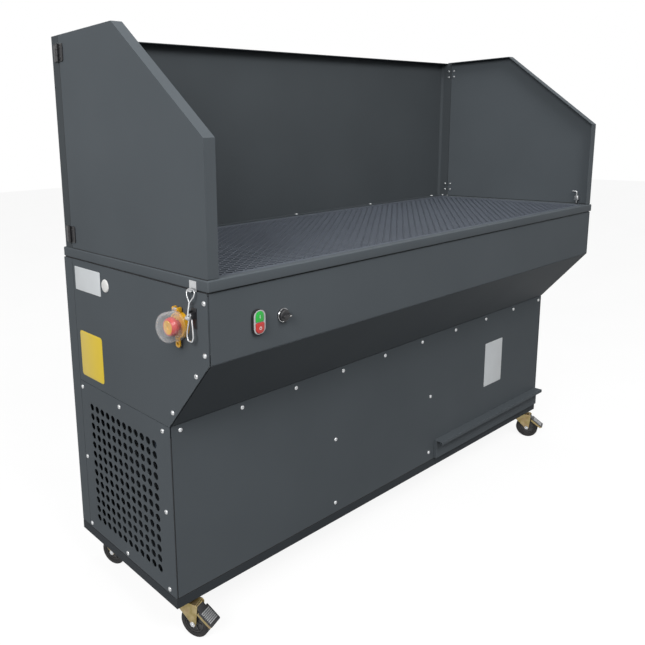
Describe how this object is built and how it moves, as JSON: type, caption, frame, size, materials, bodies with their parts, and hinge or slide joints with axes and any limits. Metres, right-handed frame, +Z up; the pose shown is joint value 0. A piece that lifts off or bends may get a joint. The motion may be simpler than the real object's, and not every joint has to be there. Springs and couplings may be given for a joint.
{
  "type": "downdraft extraction bench",
  "caption": "Downdraft extraction bench on castors, with an expanded-metal worktop, back panel, hinged wings, dust drawer, switches and a guarded emergency stop.",
  "frame": {"origin": "under the middle of the bench's overall box, on the floor", "axes": "+X along the length to the right as seen from the front, +Y from the front to the back, +Z up"},
  "size_m": [1.8586, 0.682, 1.512],
  "materials": {
    "anthracite_paint": "fine-textured satin powder coat",
    "galvanised_steel": "galvanised sheet",
    "mesh_steel": "satin powder coat on expanded metal",
    "gasket_rubber": "foam rubber",
    "black_steel": "black satin",
    "zinc_steel": "bright zinc",
    "castor_steel": "yellow zinc",
    "wheel_rubber": "solid black tread",
    "yellow_plastic": "moulded, slightly glossy",
    "red_plastic": "moulded, glossy",
    "green_plastic": "moulded, glossy",
    "clear_plastic": "clear polycarbonate",
    "black_plastic": "moulded, satin",
    "chrome_trim": "polished",
    "filter_media": "pleated polyester fleece",
    "fan_steel": "zinc-plated sheet",
    "motor_paint": "painted castings",
    "control_box_paint": "light grey paint"
  },
  "bodies": {
    "cabinet": {"base_plinth": "anthracite_paint", "cable_gland": "black_plastic", "castor_bolts": "zinc_steel", "castor_plates": "castor_steel", "control_box": "control_box_paint", "control_fascia": "anthracite_paint", "corner_posts": "black_steel", "drawer_runners": "galvanised_steel", "fan_motor": "motor_paint", "fan_scroll": "galvanised_steel", "filter_cartridges": "filter_media", "front_panel": "anthracite_paint", "hinge_fixed_leaves": "black_steel", "hinge_pins": "zinc_steel", "hinge_screws": "zinc_steel", "hood_back_panel": "anthracite_paint", "hopper_front": "anthracite_paint", "inner_walls": "galvanised_steel", "latch_base": "black_steel", "latch_catch": "zinc_steel", "left_grille_panel": "anthracite_paint", "left_upper_panel": "anthracite_paint", "mesh_bearers": "galvanised_steel", "panel_bolts": "zinc_steel", "rear_panel": "anthracite_paint", "right_lower_panel": "anthracite_paint", "right_upper_panel": "anthracite_paint", "rim_frame": "anthracite_paint", "rim_gasket": "gasket_rubber", "stop_collar": "yellow_plastic", "switch_bezels": "chrome_trim"},
    "left_drop_bolt": {"left_drop_bolt": "zinc_steel"},
    "right_drop_bolt": {"right_drop_bolt": "zinc_steel"},
    "emergency_button": {"emergency_button": "red_plastic"},
    "stop_guard": {"stop_guard": "clear_plastic"},
    "start_button": {"start_button": "green_plastic"},
    "stop_button": {"stop_button": "red_plastic"},
    "selector_knob": {"selector_knob": "black_plastic"},
    "latch_lever": {"latch_lever": "zinc_steel"},
    "latch_bail": {"latch_bail": "zinc_steel"},
    "fan_impeller": {"fan_impeller": "fan_steel"},
    "mesh_worktop": {"mesh_worktop": "mesh_steel"},
    "brake_pedal_left": {"brake_pedal_left": "castor_steel"},
    "brake_pedal_right": {"brake_pedal_right": "castor_steel"},
    "castor_fork_front_left": {"castor_fork_front_left": "castor_steel"},
    "castor_fork_front_right": {"castor_fork_front_right": "castor_steel"},
    "castor_fork_rear_left": {"castor_fork_rear_left": "castor_steel"},
    "castor_fork_rear_right": {"castor_fork_rear_right": "castor_steel"},
    "castor_wheel_front_left": {"castor_wheel_front_left": "wheel_rubber"},
    "castor_wheel_front_right": {"castor_wheel_front_right": "wheel_rubber"},
    "castor_wheel_rear_left": {"castor_wheel_rear_left": "wheel_rubber"},
    "castor_wheel_rear_right": {"castor_wheel_rear_right": "wheel_rubber"},
    "left_wing": {"left_wing": "anthracite_paint", "left_wing_hinge_leaves": "black_steel", "left_bolt_guide": "zinc_steel"},
    "right_wing": {"right_wing": "anthracite_paint", "right_wing_hinge_leaves": "black_steel", "right_bolt_guide": "zinc_steel"},
    "drawer": {"drawer_tray": "galvanised_steel", "drawer_front": "anthracite_paint"}
  },
  "joints": [
    {"name": "left_wing_hinge", "type": "hinge", "parent": "cabinet", "child": "left_wing", "pos_m": [-0.87815, 0.273, 1.236], "axis": [0, 0, -1], "range_deg": [0, 180]},
    {"name": "left_drop_bolt_slide", "type": "slide", "parent": "left_wing", "child": "left_drop_bolt", "axis": [0, 0, 1], "range_m": [-0.012, 0.011]},
    {"name": "right_wing_hinge", "type": "hinge", "parent": "cabinet", "child": "right_wing", "pos_m": [0.92425, 0.273, 1.236], "axis": [0, 0, 1], "range_deg": [0, 180]},
    {"name": "right_drop_bolt_slide", "type": "slide", "parent": "right_wing", "child": "right_drop_bolt", "axis": [0, 0, 1], "range_m": [-0.012, 0.011]},
    {"name": "drawer_slide", "type": "slide", "parent": "cabinet", "child": "drawer", "axis": [0, -1, 0], "range_m": [0, 0.35]},
    {"name": "mesh_lift", "type": "slide", "parent": "cabinet", "child": "mesh_worktop", "axis": [0, 0, 1], "range_m": [0, 0.25]},
    {"name": "castor_swivel_front_left", "type": "hinge", "parent": "cabinet", "child": "castor_fork_front_left", "pos_m": [-0.82695, -0.121, 0.095], "axis": [0, 0, 1], "continuous": true},
    {"name": "castor_roll_front_left", "type": "hinge", "parent": "castor_fork_front_left", "child": "castor_wheel_front_left", "pos_m": [-0.81464, -0.15483, 0.04], "axis": [0.9397, 0.342, 0], "continuous": true},
    {"name": "brake_pedal_left_hinge", "type": "hinge", "parent": "castor_fork_front_left", "child": "brake_pedal_left", "pos_m": [-0.81259, -0.16047, 0.0847], "axis": [-0.9397, -0.342, 0], "range_deg": [0, 20]},
    {"name": "castor_swivel_front_right", "type": "hinge", "parent": "cabinet", "child": "castor_fork_front_right", "pos_m": [0.87305, -0.121, 0.095], "axis": [0, 0, 1], "continuous": true},
    {"name": "castor_roll_front_right", "type": "hinge", "parent": "castor_fork_front_right", "child": "castor_wheel_front_right", "pos_m": [0.88536, -0.15483, 0.04], "axis": [0.9397, 0.342, 0], "continuous": true},
    {"name": "brake_pedal_right_hinge", "type": "hinge", "parent": "castor_fork_front_right", "child": "brake_pedal_right", "pos_m": [0.88741, -0.16047, 0.0847], "axis": [-0.9397, -0.342, 0], "range_deg": [0, 20]},
    {"name": "castor_swivel_rear_left", "type": "hinge", "parent": "cabinet", "child": "castor_fork_rear_left", "pos_m": [-0.82695, 0.279, 0.095], "axis": [0, 0, 1], "continuous": true},
    {"name": "castor_roll_rear_left", "type": "hinge", "parent": "castor_fork_rear_left", "child": "castor_wheel_rear_left", "pos_m": [-0.81464, 0.24517, 0.04], "axis": [0.9397, 0.342, 0], "continuous": true},
    {"name": "castor_swivel_rear_right", "type": "hinge", "parent": "cabinet", "child": "castor_fork_rear_right", "pos_m": [0.87305, 0.279, 0.095], "axis": [0, 0, 1], "continuous": true},
    {"name": "castor_roll_rear_right", "type": "hinge", "parent": "castor_fork_rear_right", "child": "castor_wheel_rear_right", "pos_m": [0.88536, 0.24517, 0.04], "axis": [0.9397, 0.342, 0], "continuous": true},
    {"name": "emergency_button_push", "type": "slide", "parent": "cabinet", "child": "emergency_button", "axis": [1, 0, 0], "range_m": [0, 0.005]},
    {"name": "stop_guard_hinge", "type": "hinge", "parent": "cabinet", "child": "stop_guard", "pos_m": [-0.89095, -0.227, 0.8865], "axis": [0, 1, 0], "range_deg": [0, 110]},
    {"name": "start_button_push", "type": "slide", "parent": "cabinet", "child": "start_button", "axis": [0, 1, 0], "range_m": [0, 0.003], "stiffness_N_per_m": 300},
    {"name": "stop_button_push", "type": "slide", "parent": "cabinet", "child": "stop_button", "axis": [0, 1, 0], "range_m": [0, 0.003], "stiffness_N_per_m": 300},
    {"name": "selector_knob_turn", "type": "hinge", "parent": "cabinet", "child": "selector_knob", "pos_m": [-0.66055, -0.321, 0.846], "axis": [0, 1, 0], "range_deg": [-135, 135]},
    {"name": "latch_lever_hinge", "type": "hinge", "parent": "cabinet", "child": "latch_lever", "pos_m": [-0.88695, -0.276, 0.88], "axis": [0, 1, 0], "range_deg": [0, 120]},
    {"name": "latch_bail_hinge", "type": "hinge", "parent": "latch_lever", "child": "latch_bail", "pos_m": [-0.89565, -0.276, 0.875], "axis": [0, 1, 0], "range_deg": [-156, 0]},
    {"name": "fan_spin", "type": "hinge", "parent": "cabinet", "child": "fan_impeller", "pos_m": [-0.37695, 0.079, 0.37], "axis": [1, 0, 0], "continuous": true}
  ],
  "couplings": [
    {"joint": "latch_bail_hinge", "follows": "latch_lever_hinge", "ratio": -1.3}
  ]
}
